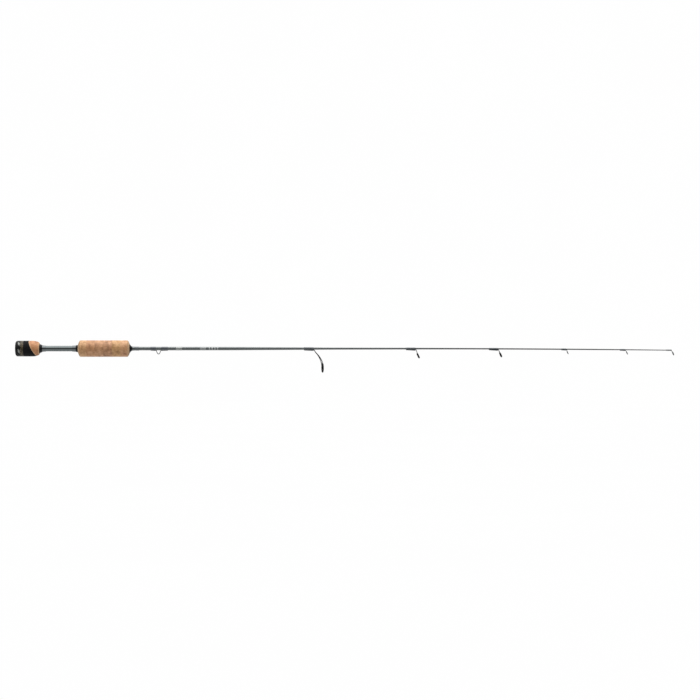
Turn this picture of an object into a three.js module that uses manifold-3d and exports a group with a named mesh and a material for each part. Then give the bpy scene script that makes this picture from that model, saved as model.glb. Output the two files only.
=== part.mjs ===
// Ice fishing rod, 914 mm (36 in) overall: a solid tapered blank glued into a short handle tube,
// with a split cork grip, a wire hook keeper, five single-foot line guides and a tip guide.
//
// Millimetres. +X runs from the butt to the tip, +Z is up, and the guides hang towards -Z.
// The origin is the centre of the butt's end face. Handle pieces are turned about the X axis.
// Forward of SAG_START the blank droops a little, and everything it carries follows it.

import * as THREE from 'three';
import { mergeVertices } from 'three/addons/utils/BufferGeometryUtils.js';
import Module from 'manifold-3d';

const wasm = await Module();
wasm.setup();

// ---- Driving dimensions -------------------------------------------------------------------

const BORE_GAP = 0.06;          // radial room in a glued bore
const SEAM_GAP = 0.1;           // room between two neighbours glued end to end
const CUT_GAP = 0.3;            // room between the faces of the knob's slanted joint
const GRIP_SIDES = 32;          // facets round the cork and the knob; one of them faces straight down
const TUBE_SIDES = 16;          // facets round the tube, the blank and what is fitted to them

// Butt knob, from the end face forward.
const KNOB_RADIUS = 10.95;
const KNOB_FLAT_RADIUS = 5.5;   // flat middle of the end face
const KNOB_DOME = 0.3;          // how far the end face falls away towards its edge
const KNOB_EDGE = [3.3, 2.75];  // length and height of the rounded rear edge
const CAP_FRONT = 7.4;
const BAND_FRONT = 11.7;
const KNOB_SHOULDER = 22.5;     // where the front starts to round off
const KNOB_FRONT = 33.3;
const KNOB_NOSE_RADIUS = 7.5;
const JOINT_CENTRE = 24.75;     // where the slanted joint of sleeve and cork meets the axis
const JOINT_SLOPE = 0.546;      // how fast the joint runs forward, per unit of height
const JOINT_TURN = THREE.MathUtils.degToRad(68);  // its rearmost point, from -Y towards +Z
const PLUG_RADIUS = 3.1;        // spigot of the butt cap inside the handle tube
const PLUG_LENGTH = 9;

// Handle tube and the trim rings on it: [rear x, front x, rear radius, front radius].
const TUBE = { rear: 7.6, front: 158.4, radius: 3.8, bore: 3.2 };
const KNOB_CHECK = [33.4, 37.0, 6.5, 4.9];
const KNOB_COLLAR = [37.1, 42.2, 4.45, 4.1];
const GRIP_COLLAR = [78.8, 83.9, 4.15, 4.4];
const GRIP_CHECK = [84.0, 86.7, 4.75, 4.95];

// Foregrip: cork rings glued face to face.
const GRIP = { rear: 86.8, front: 158.5, radius: 11.5, faceRadius: 6.1, chamfer: 3.4 };
const CORK_RINGS = 6;

// Ahead of the foregrip, on the blank.
const CONE = { rear: 158.6, front: 162.1, radius: 6.05, neck: 2.95 };
const HOSEL = [162.2, 165.4, 2.9, 2.75];
const FRONT_WRAP = { span: [165.6, 171.8], varnish: 0.3 };
const TRIM_WRAP = { span: [222.3, 231.6], varnish: 0.16 };

// Blank: [x, diameter], straight between these.
const BLANK_TAPER = [
  [92, 5.0], [172, 4.9], [298, 4.6], [381, 3.6], [437, 2.9],
  [520, 2.5], [631, 2.0], [798, 1.6], [909.6, 1.2],
];
const BLANK_STATION = 60;       // longest stretch of blank between two rings of vertices
const SAG_START = 520;
const SAG_END = 911;
const TIP_SAG = 2.25;
const BUSHES = { rear: [97, 111], front: [144.2, 158.2] };

// Hook keeper: one wire bent to a V, with a flattened foot under each wrap.
const KEEPER = {
  wraps: [[187.1, 195.2], [201.8, 211.9]],
  feet: [188.2, 210.8],
  bends: [195.3, 201.7],
  leg: [[3.05, -3], [2.75, -4.1], [1.9, -5.7], [0.85, -7.15]],    // [out from middle, height]
  depth: 7.5,                   // of the wire's centreline at the bottom of the V
  roundedFrom: 3.4,             // the wire is round nearer the middle than this, and flat beyond
  wire: 0.5,
  footWidth: 0.7,               // half the width of a flattened foot
  footThickness: 0.27,          // half its thickness
  varnish: 0.17,
  bulk: 0.05,                   // what a wrap's varnish adds under a foot
};

// Line guides, rear to front. varnish is the wrap's thickness over thread and blank, and bulk what
// it adds under the foot. centre is the ring's, as x and height from the blank's axis; lean is the
// ring plane's angle to the rod, and twist its turn about the vertical; outer is the diameter over
// the frame. A leg leaves its foot along bow, and meets the ring after running straight down the
// ring plane for reach.
const GUIDES = [
  { wrap: [400, 414], varnish: 0.3, bulk: 0.15, wire: 0.53, outer: 13.6, ringWidth: 2,
    centre: [426.2, -26.7], lean: 90, twist: 9.5, bow: [2.2, -4.2], reach: 14 },
  { wrap: [541.6, 555.5], varnish: 0.3, bulk: 0.3, wire: 0.43, outer: 8.2, ringWidth: 2.4,
    centre: [559, -9.9], lean: 65, twist: 0, bow: [0.9, -0.6], reach: 3 },
  { wrap: [656.8, 670], varnish: 0.3, bulk: 0.3, wire: 0.43, outer: 7.6, ringWidth: 2.4,
    centre: [673.5, -8.3], lean: 65, twist: 0, bow: [0.8, -0.6], reach: 2.4 },
  { wrap: [757.4, 765], varnish: 0.24, bulk: 0.06, wire: 0.32, outer: 5.2, ringWidth: 1.15,
    centre: [766.4, -4.6], lean: 65, twist: 0, bow: [0.4, -0.4], reach: 1 },
  { wrap: [838.5, 846.8], varnish: 0.24, bulk: 0.06, wire: 0.32, outer: 5.0, ringWidth: 1.15,
    centre: [848.9, -4.4], lean: 65, twist: 0, bow: [0.4, -0.4], reach: 0.8 },
];
// brace holds two points of a brace from the tip tube's solid end: [past the end, aside, height].
const TIP = { tube: [903.4, 911], tubeRadius: 0.9, wall: 1.2, wire: 0.34, outer: 5.6, ringWidth: 1.4,
  centre: [912.95, -4.5], lean: 68, twist: 0, brace: [[-0.6, 0.3, 0], [0, 0.6, -1.1]] };

// How a guide's parts follow from its wire and its outer diameter.
const BEZEL_RISE = 0.3;         // how far the bezel stands out past the wire's centreline, in wire radii
const BEZEL_WALL = 1.55;        // wall of the bezel, in wire radii
const BEZEL_WIDTH = 0.8;        // its width, as a share of the ceramic ring's
const RING_BORE = 0.755;        // bore of the ceramic ring, as a share of its outer size
const FOOT_TOE = 0.5;           // share of a foot's thickness left at its ground toe
const LEG_SPREAD = 0.12;        // share of its way out that a leg has made at the end of its bow
const SHOULDER = 0.7;           // height above the ring's centre where a tip brace meets the loop, in radii
const WIRE_SIDES = 6;

// ---- Finishes -----------------------------------------------------------------------------

const CORK = { color: 0xc6a078, roughness: 0.85, metalness: 0 };
const BLACK = { color: 0x17181a, roughness: 0.6, metalness: 0 };
const OLIVE = { color: 0x6f6a4c, roughness: 0.5, metalness: 0 };
const STEEL = { color: 0x9da5a6, roughness: 0.3, metalness: 1 };
const DARK_STEEL = { color: 0x5d6160, roughness: 0.35, metalness: 1 };
const GRAPHITE = { color: 0x3b3e3e, roughness: 0.3, metalness: 0.4 };
const THREAD = { color: 0x33363f, roughness: 0.35, metalness: 0.1 };
const SILVER_THREAD = { color: 0x8f9290, roughness: 0.35, metalness: 0.5 };
const CERAMIC = { color: 0x101112, roughness: 0.15, metalness: 0 };
const BUSH = { color: 0xcfc5a8, roughness: 0.8, metalness: 0 };

// ---- Helpers ------------------------------------------------------------------------------

const rod = new THREE.Group();

function addPiece(name, geometry, finish) {
  const mesh = new THREE.Mesh(geometry, new THREE.MeshStandardMaterial(finish));
  mesh.name = name;
  rod.add(mesh);
  return mesh;
}

// Turns an outline of [x, radius] points about the X axis.
function turned(outline, sides) {
  const points = outline.map(([x, radius]) => new THREE.Vector2(radius, x));
  return new THREE.LatheGeometry(points, sides, Math.PI / sides).rotateZ(-Math.PI / 2);
}

// A turned piece with a bore: outline runs from rear to front outside, bore is its radius.
function bored(outline, bore, sides = GRIP_SIDES) {
  const rear = outline[0][0];
  const front = outline[outline.length - 1][0];
  return turned([[rear, bore], ...outline, [front, bore], [rear, bore]], sides);
}

function taperedRing([rear, front, rearRadius, frontRadius], bore, sides) {
  return bored([[rear, rearRadius], [front, frontRadius]], bore, sides);
}

function asSolid(geometry) {
  const bare = geometry.clone().deleteAttribute('normal').deleteAttribute('uv');
  const merged = mergeVertices(bare, 1e-4);
  return new wasm.Manifold(new wasm.Mesh({
    numProp: 3,
    vertProperties: new Float32Array(merged.attributes.position.array),
    triVerts: new Uint32Array(merged.index.array),
  }));
}

function asGeometry(solid) {
  const mesh = solid.getMesh();
  const geometry = new THREE.BufferGeometry();
  geometry.setAttribute('position', new THREE.BufferAttribute(mesh.vertProperties, 3));
  geometry.setIndex(new THREE.BufferAttribute(mesh.triVerts, 1));
  return geometry;
}

// Moves every vertex of a geometry to what move(vertex) makes of it.
function reshaped(geometry, move) {
  const position = geometry.attributes.position;
  const vertex = new THREE.Vector3();
  for (let i = 0; i < position.count; i += 1) {
    vertex.fromBufferAttribute(position, i);
    move(vertex);
    position.setXYZ(i, vertex.x, vertex.y, vertex.z);
  }
  return geometry;
}

function wireAlong(points, radius, steps) {
  const section = new THREE.Shape();
  for (let i = 0; i < WIRE_SIDES; i += 1) {
    const angle = (2 * Math.PI * i) / WIRE_SIDES;
    const corner = [radius * Math.cos(angle), radius * Math.sin(angle)];
    if (i === 0) section.moveTo(...corner);
    else section.lineTo(...corner);
  }
  const extrudePath = new THREE.CatmullRomCurve3(points, false, 'centripetal');
  return new THREE.ExtrudeGeometry(section, { extrudePath, steps, bevelEnabled: false });
}

// ---- The blank's shape --------------------------------------------------------------------

function blankRadius(x) {
  const next = BLANK_TAPER.findIndex(([station]) => station >= x);
  const front = BLANK_TAPER[next < 0 ? BLANK_TAPER.length - 1 : Math.max(next, 1)];
  const rear = BLANK_TAPER[BLANK_TAPER.indexOf(front) - 1];
  return THREE.MathUtils.mapLinear(x, rear[0], front[0], rear[1], front[1]) / 2;
}

function sagAt(x) {
  const along = Math.max(0, (x - SAG_START) / (SAG_END - SAG_START));
  return TIP_SAG * along * along;
}

function sagged(geometry) {
  return reshaped(geometry, (vertex) => { vertex.z -= sagAt(vertex.x); });
}

function makeBlank() {
  const outline = [[BLANK_TAPER[0][0], 0]];
  BLANK_TAPER.slice(1).forEach(([front], i) => {
    const rear = BLANK_TAPER[i][0];
    const parts = Math.ceil((front - rear) / BLANK_STATION);
    for (let part = 0; part < parts; part += 1) {
      const x = THREE.MathUtils.lerp(rear, front, part / parts);
      outline.push([x, blankRadius(x)]);
    }
  });
  const tip = BLANK_TAPER[BLANK_TAPER.length - 1][0];
  outline.push([tip, blankRadius(tip)], [tip, 0]);
  addPiece('blank', sagged(turned(outline, TUBE_SIDES)), GRAPHITE);
}

// ---- Handle -------------------------------------------------------------------------------

function makeButtCap() {
  const [edgeLength, edgeHeight] = KNOB_EDGE;
  const edgeSteps = 4;
  const outline = [[0, 0], [0, KNOB_FLAT_RADIUS]];
  for (let i = 0; i <= edgeSteps; i += 1) {
    const angle = (Math.PI / 2) * (i / edgeSteps);
    const x = KNOB_DOME + edgeLength * (1 - Math.cos(angle));
    outline.push([x, KNOB_RADIUS - edgeHeight * (1 - Math.sin(angle))]);
  }
  outline.push([CAP_FRONT, KNOB_RADIUS], [CAP_FRONT, PLUG_RADIUS]);
  outline.push([CAP_FRONT + PLUG_LENGTH, PLUG_RADIUS], [CAP_FRONT + PLUG_LENGTH, 0]);
  addPiece('butt_cap', turned(outline, GRIP_SIDES), BLACK);
}

// Everything on one side of the slanted joint: side is 1 ahead of it, -1 behind it.
function jointBlock(side) {
  const size = 60;              // edge of the block, longer than the knob
  const normal = new THREE.Vector3(
    1,
    -JOINT_SLOPE * Math.cos(JOINT_TURN),
    JOINT_SLOPE * Math.sin(JOINT_TURN),
  ).normalize();
  const turn = new THREE.Quaternion().setFromUnitVectors(new THREE.Vector3(1, 0, 0), normal);
  const offset = (side * (size - CUT_GAP)) / 2;
  return new THREE.BoxGeometry(size, size, size)
    .applyQuaternion(turn)
    .translate(JOINT_CENTRE + normal.x * offset, normal.y * offset, normal.z * offset);
}

function makeKnob() {
  const bore = TUBE.radius + BORE_GAP;
  const band = [[CAP_FRONT + SEAM_GAP, KNOB_RADIUS], [BAND_FRONT, KNOB_RADIUS]];
  addPiece('butt_band', bored(band, bore), OLIVE);

  const outline = [[BAND_FRONT + SEAM_GAP, KNOB_RADIUS]];
  const noseSteps = 5;
  for (let i = 0; i <= noseSteps; i += 1) {
    const angle = (Math.PI / 2) * (i / noseSteps);
    const x = KNOB_SHOULDER + (KNOB_FRONT - KNOB_SHOULDER) * Math.sin(angle);
    outline.push([x, KNOB_NOSE_RADIUS + (KNOB_RADIUS - KNOB_NOSE_RADIUS) * Math.cos(angle)]);
  }
  const knob = asSolid(bored(outline, bore));
  addPiece('butt_sleeve', asGeometry(knob.subtract(asSolid(jointBlock(1)))), BLACK);
  addPiece('butt_cork', asGeometry(knob.subtract(asSolid(jointBlock(-1)))), CORK);
}

function makeTube() {
  const ends = [[TUBE.rear, TUBE.radius], [TUBE.front, TUBE.radius]];
  const bore = TUBE.radius + BORE_GAP;
  addPiece('handle_tube', bored(ends, TUBE.bore, TUBE_SIDES), STEEL);
  addPiece('butt_winding_check', taperedRing(KNOB_CHECK, bore, TUBE_SIDES), BLACK);
  addPiece('butt_collar', taperedRing(KNOB_COLLAR, bore, TUBE_SIDES), STEEL);
  addPiece('grip_rear_collar', taperedRing(GRIP_COLLAR, bore, TUBE_SIDES), STEEL);
  addPiece('grip_rear_check', taperedRing(GRIP_CHECK, bore, TUBE_SIDES), BLACK);
}

// Radius of the foregrip at x: a full cylinder with a convex chamfer at each end.
function gripRadius(x) {
  const inFromEnd = Math.min(x - GRIP.rear, GRIP.front - x);
  const along = Math.min(1, inFromEnd / GRIP.chamfer);
  return GRIP.faceRadius + (GRIP.radius - GRIP.faceRadius) * Math.sin((Math.PI / 2) * along);
}

function makeForegrip() {
  const length = (GRIP.front - GRIP.rear) / CORK_RINGS;
  const chamferStops = [1 / 3, 2 / 3, 1];
  for (let i = 0; i < CORK_RINGS; i += 1) {
    const rear = GRIP.rear + i * length;
    const front = rear + length - (i < CORK_RINGS - 1 ? SEAM_GAP : 0);
    const stops = [rear, front];
    if (i === 0) stops.push(...chamferStops.map((stop) => rear + stop * GRIP.chamfer));
    if (i === CORK_RINGS - 1) stops.push(...chamferStops.map((stop) => front - stop * GRIP.chamfer));
    const outline = stops.sort((a, b) => a - b).map((x) => [x, gripRadius(x)]);
    addPiece(`cork_ring_${i + 1}`, bored(outline, TUBE.radius + BORE_GAP), CORK);
  }
}

function makeBushes() {
  for (const [place, [rear, front]] of Object.entries(BUSHES)) {
    const radius = TUBE.bore - BORE_GAP;
    const bush = taperedRing([rear, front, radius, radius], blankRadius(rear) + BORE_GAP, TUBE_SIDES);
    addPiece(`blank_bush_${place}`, bush, BUSH);
  }
}

function makeGripFront() {
  const bore = blankRadius(CONE.rear) + BORE_GAP;
  const coneSteps = 4;
  const outline = [];
  for (let i = 0; i <= coneSteps; i += 1) {
    const along = i / coneSteps;
    const x = THREE.MathUtils.lerp(CONE.rear, CONE.front, along);
    outline.push([x, CONE.radius - (CONE.radius - CONE.neck) * Math.sin((Math.PI / 2) * along)]);
  }
  addPiece('grip_front_check', bored(outline, bore, TUBE_SIDES), BLACK);
  addPiece('grip_front_ring', taperedRing(HOSEL, bore, TUBE_SIDES), STEEL);
}

// ---- Thread wraps -------------------------------------------------------------------------

// A wrap from rear to front on the blank, with its varnish running out at both ends.
function makeWrap(name, [rear, front], varnish, finish, foot) {
  const runOut = Math.min(1.5, (front - rear) / 5);
  const edge = 0.3 * varnish;
  const outside = [[rear, edge], [rear + runOut, varnish], [front - runOut, varnish], [front, edge]]
    .map(([x, over]) => [x, blankRadius(x) + BORE_GAP + over]);
  const inside = [front, rear].map((x) => [x, blankRadius(x) + BORE_GAP]);
  const geometry = turned([inside[1], ...outside, ...inside], TUBE_SIDES);
  addPiece(name, sagged(foot ? overFoot(geometry, foot) : geometry), finish);
}

// Share of a foot's full thickness at x: it is ground down from its heel to its toe.
function footShare(x, foot) {
  const along = (x - foot.toe) / (foot.heel - foot.toe);
  return THREE.MathUtils.lerp(FOOT_TOE, 1, THREE.MathUtils.clamp(along, 0, 1));
}

// Stretches a turned wrap over a foot that lies under the blank: each section becomes the
// taut outline round the blank's circle and the foot's one or two oval wires.
function overFoot(geometry, foot) {
  return reshaped(geometry, (vertex) => {
    const radius = blankRadius(vertex.x);
    const distance = Math.hypot(vertex.y, vertex.z);
    const out = new THREE.Vector2(vertex.y / distance, vertex.z / distance);
    const thickness = (foot.thickness + foot.bulk) * footShare(vertex.x, foot);
    const oval = new THREE.Vector2(foot.width ** 2 * out.x, thickness ** 2 * out.y)
      .divideScalar(Math.hypot(foot.width * out.x, thickness * out.y));
    const outermost = new THREE.Vector2(Math.sign(out.x) * foot.apart, -radius - thickness).add(oval);
    if (outermost.dot(out) > radius) {
      outermost.addScaledVector(out, distance - radius);
      vertex.set(vertex.x, outermost.x, outermost.y);
    }
  });
}

// Grinds a wire's foot, which thins towards the blank it lies on from its heel to its toe.
function groundFoot(geometry, foot) {
  return reshaped(geometry, (vertex) => {
    const surface = -blankRadius(vertex.x);
    const inFoot = (vertex.x - foot.heel) * Math.sign(foot.toe - foot.heel) >= 0;
    if (inFoot) vertex.z = surface + (vertex.z - surface) * footShare(vertex.x, foot);
  });
}

// ---- Hook keeper --------------------------------------------------------------------------

function makeKeeper() {
  const [rearBend, frontBend] = KEEPER.bends;
  const middle = (rearBend + frontBend) / 2;
  const footHeight = -blankRadius(rearBend) - BORE_GAP / 2 - KEEPER.footThickness;
  const half = (toe, sign) => [
    [toe, footHeight],
    [(toe + middle + sign * KEEPER.roundedFrom) / 2, footHeight],
    [middle + sign * KEEPER.roundedFrom, footHeight],
    ...KEEPER.leg.map(([out, height]) => [middle + sign * out, height]),
  ];
  const outline = [
    ...half(KEEPER.feet[0], -1), [middle, -KEEPER.depth], ...half(KEEPER.feet[1], 1).reverse(),
  ];
  const steps = 40;
  const wire = wireAlong(outline.map(([x, z]) => new THREE.Vector3(x, 0, z)), KEEPER.wire, steps);
  reshaped(wire, (vertex) => {
    const out = Math.abs(vertex.x - middle);
    const flat = THREE.MathUtils.smoothstep(out, KEEPER.leg[1][0], KEEPER.roundedFrom);
    vertex.y *= THREE.MathUtils.lerp(1, KEEPER.footWidth / KEEPER.wire, flat);
    const thickness = THREE.MathUtils.lerp(1, KEEPER.footThickness / KEEPER.wire, flat);
    if (flat > 0) vertex.z = footHeight + (vertex.z - footHeight) * thickness;
  });
  const feet = KEEPER.feet.map((toe, i) => ({
    toe, heel: KEEPER.bends[i], apart: 0, width: KEEPER.footWidth, thickness: KEEPER.footThickness,
    bulk: KEEPER.bulk,
  }));
  feet.forEach((foot) => groundFoot(wire, foot));
  addPiece('hook_keeper', wire, STEEL);
  makeWrap('keeper_wrap_rear', KEEPER.wraps[0], KEEPER.varnish, THREAD, feet[0]);
  makeWrap('keeper_wrap_front', KEEPER.wraps[1], KEEPER.varnish, THREAD, feet[1]);
}

// ---- Line guides --------------------------------------------------------------------------

function ringSizes({ outer, wire, ringWidth }) {
  const loop = outer / 2 - wire;
  const bezel = loop + BEZEL_RISE * wire;
  const bezelBore = bezel - BEZEL_WALL * wire;
  const ring = bezelBore - BORE_GAP;
  return { loop, bezel, bezelBore, ring, ringBore: ring * RING_BORE, ringWidth };
}

// Steps along a guide's wire, and facets round its ring.
function fineness(guide) {
  return guide.outer > 10 ? { steps: 48, sides: 24 } : { steps: 32, sides: 16 };
}

// Stands a piece turned about the X axis in a guide's ring plane, at the ring's centre.
function inRingPlane(geometry, guide) {
  const [x, height] = guide.centre;
  const lean = THREE.MathUtils.degToRad(90 - guide.lean);
  const twist = THREE.MathUtils.degToRad(guide.twist);
  return geometry.rotateY(-lean).rotateZ(twist).translate(x, 0, height);
}

// A point in a guide's ring plane: aside towards +Y and down the plane, from the ring's centre.
function inPlane(guide, aside, down) {
  const lean = THREE.MathUtils.degToRad(guide.lean);
  const twist = THREE.MathUtils.degToRad(guide.twist);
  return new THREE.Vector3(down * Math.cos(lean), aside, -down * Math.sin(lean))
    .applyAxisAngle(new THREE.Vector3(0, 0, 1), twist)
    .add(new THREE.Vector3(guide.centre[0], 0, guide.centre[1]));
}

function makeRing(name, guide) {
  const { ring, ringBore, ringWidth } = ringSizes(guide);
  const outline = [];
  const sectionSides = 6;
  for (let i = 0; i <= sectionSides; i += 1) {
    const angle = (2 * Math.PI * (i + 0.5)) / sectionSides;
    const grow = 1 / Math.cos(Math.PI / sectionSides);
    const radius = (ring + ringBore) / 2 + grow * ((ring - ringBore) / 2) * Math.cos(angle);
    outline.push([grow * (ringWidth / 2) * Math.sin(angle), radius]);
  }
  const geometry = inRingPlane(turned(outline, fineness(guide).sides), guide);
  addPiece(name, sagged(geometry), CERAMIC);
}

function bezelOf(guide) {
  const { bezel, bezelBore, ringWidth } = ringSizes(guide);
  const half = (BEZEL_WIDTH * ringWidth) / 2;
  return inRingPlane(bored([[-half, bezel], [half, bezel]], bezelBore, fineness(guide).sides), guide);
}

// Points of the wire round the lower half of a guide's ring, from its +Y side to its -Y side.
function loopPoints(guide) {
  const { loop } = ringSizes(guide);
  const arcSteps = 6;
  const points = [];
  for (let i = 0; i <= arcSteps; i += 1) {
    const angle = (Math.PI * i) / arcSteps;
    points.push(inPlane(guide, loop * Math.cos(angle), loop * Math.sin(angle)));
  }
  return points;
}

// One leg, from its foot's toe to the side of the ring: side is 1 towards +Y, -1 towards -Y.
function legPoints(guide, foot, side) {
  const { loop } = ringSizes(guide);
  const depth = (x) => -blankRadius(x) - BORE_GAP / 2 - guide.wire;
  const onBlank = (x) => new THREE.Vector3(x, side * foot.apart, depth(x));
  const start = onBlank(foot.heel);
  const spread = side * LEG_SPREAD * (loop - foot.apart);
  const leg = new THREE.CubicBezierCurve3(
    start,
    start.clone().add(new THREE.Vector3(guide.bow[0], spread, guide.bow[1])),
    inPlane(guide, side * loop, -guide.reach),
    inPlane(guide, side * loop, 0),
  );
  const footStops = [0, 0.5, 0.9].map((along) => THREE.MathUtils.lerp(foot.toe, foot.heel, along));
  return [...footStops.map(onBlank), ...leg.getPoints(5).slice(0, -1)];
}

function makeGuide(guide, number) {
  const [rear, front] = guide.wrap;
  const foot = { toe: rear + 1, heel: front + 0.3, apart: guide.wire + 0.04, width: guide.wire,
    thickness: guide.wire, bulk: guide.bulk };
  const points = [
    ...legPoints(guide, foot, 1), ...loopPoints(guide), ...legPoints(guide, foot, -1).reverse(),
  ];
  const wire = wireAlong(points, guide.wire, fineness(guide).steps);
  const frame = asSolid(groundFoot(wire, foot)).add(asSolid(bezelOf(guide)));
  addPiece(`guide_${number}_frame`, sagged(asGeometry(frame)), DARK_STEEL);
  makeRing(`guide_${number}_ring`, guide);
  makeWrap(`guide_${number}_wrap`, guide.wrap, guide.varnish, THREAD, foot);
}

function makeTipGuide() {
  const [rear, front] = TIP.tube;
  const { loop } = ringSizes(TIP);
  const blind = front - TIP.wall;
  const bore = blankRadius(rear) + BORE_GAP;
  const tube = turned([
    [rear, bore], [rear, TIP.tubeRadius], [front, TIP.tubeRadius], [front, 0], [blind, 0],
    [blind, bore], [rear, bore],
  ], TUBE_SIDES);
  const brace = (side) => [
    ...TIP.brace.map(([past, aside, height]) => new THREE.Vector3(front + past, side * aside, height)),
    inPlane(TIP, side * SHOULDER * loop, -SHOULDER * loop),
  ];
  const points = [...brace(1), ...loopPoints(TIP), ...brace(-1).reverse()];
  const wire = asSolid(wireAlong(points, TIP.wire, fineness(TIP).steps));
  const frame = asSolid(tube).add(wire).add(asSolid(bezelOf(TIP)));
  addPiece('tip_frame', sagged(asGeometry(frame)), STEEL);
  makeRing('tip_ring', TIP);
}

// ---- Assembly -----------------------------------------------------------------------------

makeButtCap();
makeKnob();
makeTube();
makeForegrip();
makeBushes();
makeGripFront();
makeBlank();
makeWrap('front_wrap', FRONT_WRAP.span, FRONT_WRAP.varnish, THREAD);
makeWrap('trim_wrap', TRIM_WRAP.span, TRIM_WRAP.varnish, SILVER_THREAD);
makeKeeper();
GUIDES.forEach((guide, i) => makeGuide(guide, i + 1));
makeTipGuide();

export default rod;
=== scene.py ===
import math

import bmesh
import bpy
from mathutils import Matrix, Vector, noise


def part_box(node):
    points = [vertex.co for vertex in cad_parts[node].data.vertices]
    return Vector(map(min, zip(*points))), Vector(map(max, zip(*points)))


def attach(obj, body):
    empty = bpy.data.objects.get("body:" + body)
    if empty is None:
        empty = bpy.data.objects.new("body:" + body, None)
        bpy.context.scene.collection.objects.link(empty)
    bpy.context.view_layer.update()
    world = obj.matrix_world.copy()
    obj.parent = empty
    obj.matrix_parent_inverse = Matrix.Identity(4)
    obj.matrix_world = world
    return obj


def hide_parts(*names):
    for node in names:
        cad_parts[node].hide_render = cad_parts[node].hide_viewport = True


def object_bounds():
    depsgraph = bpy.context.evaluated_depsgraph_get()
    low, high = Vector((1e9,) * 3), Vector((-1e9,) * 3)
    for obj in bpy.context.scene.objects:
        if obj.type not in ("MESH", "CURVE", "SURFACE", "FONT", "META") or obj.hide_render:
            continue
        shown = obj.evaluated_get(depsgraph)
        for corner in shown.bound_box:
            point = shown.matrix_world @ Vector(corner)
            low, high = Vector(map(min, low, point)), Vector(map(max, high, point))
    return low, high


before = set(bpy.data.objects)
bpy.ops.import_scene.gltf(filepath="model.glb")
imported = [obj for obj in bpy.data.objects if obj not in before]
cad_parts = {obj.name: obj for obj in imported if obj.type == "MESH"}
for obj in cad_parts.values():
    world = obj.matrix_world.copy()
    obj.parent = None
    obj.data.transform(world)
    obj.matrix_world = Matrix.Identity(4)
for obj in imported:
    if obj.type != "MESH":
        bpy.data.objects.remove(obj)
cad_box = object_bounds()

# The looks of an ice fishing rod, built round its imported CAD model. Shapes are worked out in
# millimetres and turned into metres when a mesh is made. +X runs from the butt to the tip, the
# guides hang towards -Z, and the camera looks along +Y.

MM = 0.001

# ---- Driving dimensions, in millimetres -------------------------------------------------------

TUBE_FACETS = 16            # of the CAD's tube and trim rings; their boxes are measured over flats
SEAM = 0.02                 # gap left between glued neighbours
CORK_SEAM = 0.004           # the same between two cork rings
CAD_GAP = 0.1               # gap that the CAD leaves between the band and the sleeve

# Numbers of sides of the turned shapes that aren't cork or foam.
KNOB_SIDES = 128
TRIM_SIDES = 96
RING_SIDES = 72
BLANK_SIDES = 48

KNOB_FLAT_RADIUS = 5.5
KNOB_DOME = 0.3
KNOB_EDGE = (3.3, 2.75)     # length and height of the rounded rear edge
KNOB_EDGE_STEPS = 12
CAP_FRONT = 7.45
CAP_EASE = 0.18
PLUG_RADIUS = 3.1
CAP_GROOVE = (3.9, 4.6, 0.22)   # inner and outer radius and depth of the ring in the end face
BAND_BORE = 4.0
BAND_BEVEL = (0.2, 0.1)     # length and height of the bevel on its edges
BAND_EASE = 0.15
KNOB_SHOULDER = 22.5
KNOB_NOSE_RADIUS = 7.5
JOINT_CENTRE = 24.75        # where the slanted joint of foam and cork meets the axis
JOINT_SLOPE = 0.546
JOINT_TURN = math.radians(68)
TUBE_BORE = 3.2
TUBE_STEP = 6.0
TUBE_EASE = 0.15

# The rings of the trim: the end that is the wide one, the other end's radius, and the rounding.
TRIM = {
    "butt_winding_check": {"wide": "rear", "narrow": 4.9, "ease": 0.7},
    "butt_collar": {"wide": "rear", "narrow": 4.05, "ease": 0.3},
    "grip_rear_collar": {"wide": "front", "narrow": 4.1, "ease": 0.3},
    "grip_rear_check": {"wide": "front", "narrow": 4.75, "ease": 0.4},
    "grip_front_ring": {"wide": "rear", "narrow": 2.75, "ease": 0.3},
}
CONE_NECK = 2.95
CONE_STEP = 0.2
CONE_EASE = 0.2

GRIP_FACE_RADIUS = 6.1
GRIP_CHAMFER = 3.4
CORK_RINGS = 6
CORK_STEP = 0.34            # spacing of the cork's vertices
GLUE_LINE = 0.06            # depth of the line where two cork rings meet
KNOB_PIT_DEPTH = 0.2
GRIP_PIT_DEPTH = 0.22

# Where cork is worn to another tone, as distances from an edge where that ends and is complete.
WORN_AT_JOINT = (1.3, 0.5)
WORN_AT_NOSE = (1.6, 0.5)
WORN_AT_GRIP_END = (3.2, 1.2)
GRIP_END_WEAR = 0.55        # how complete it gets on the foregrip

SAG_START = 520.0
BLANK_STEP = 4.0

THREAD_PITCH = 0.25
THREAD_RELIEF = 0.012
VARNISH_END = 1.3           # length over which a wrap's varnish thins out
BARE_VARNISH = 0.5          # varnish past the last turn of thread
FOOT_TOE = 0.5              # share of a foot's thickness left at its ground toe
FRONT_VARNISH = 0.3
TRIM_VARNISH = 0.16

# The bulge of a wrap over a foot: distances past the toe where it starts to fade and is gone, and
# distances from the heel where it starts to dip and is lowest, with the share that it dips by.
TOE_FADE = (0.1, 1.0)
HEEL_DIP = (0.9, 0.3)
HEEL_DIP_SHARE = 0.4

BARE_BLANK = (0.1, 0.11, 0.11, 1.0)   # the blank seen through varnish

KEEPER_LEG = ((3.05, -3.0), (2.75, -4.1), (1.9, -5.7), (0.85, -7.15))   # (out from middle, height)
KEEPER_DEPTH = 7.5
KEEPER_ROUNDED_FROM = 3.4
KEEPER_WIRE = 0.5
KEEPER_FOOT = (0.7, 0.27)   # half the width and half the thickness of a flattened foot
KEEPER_OVERHANG = 0.1       # how far a foot's heel stands out of its wrap
KEEPER_TOE = 1.1            # how far its toe stays inside the far end
KEEPER_STEP = 0.3
KEEPER_VARNISH = 0.17
KEEPER_BULK = 0.05          # varnish over a foot, on top of the foot's own thickness

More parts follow.
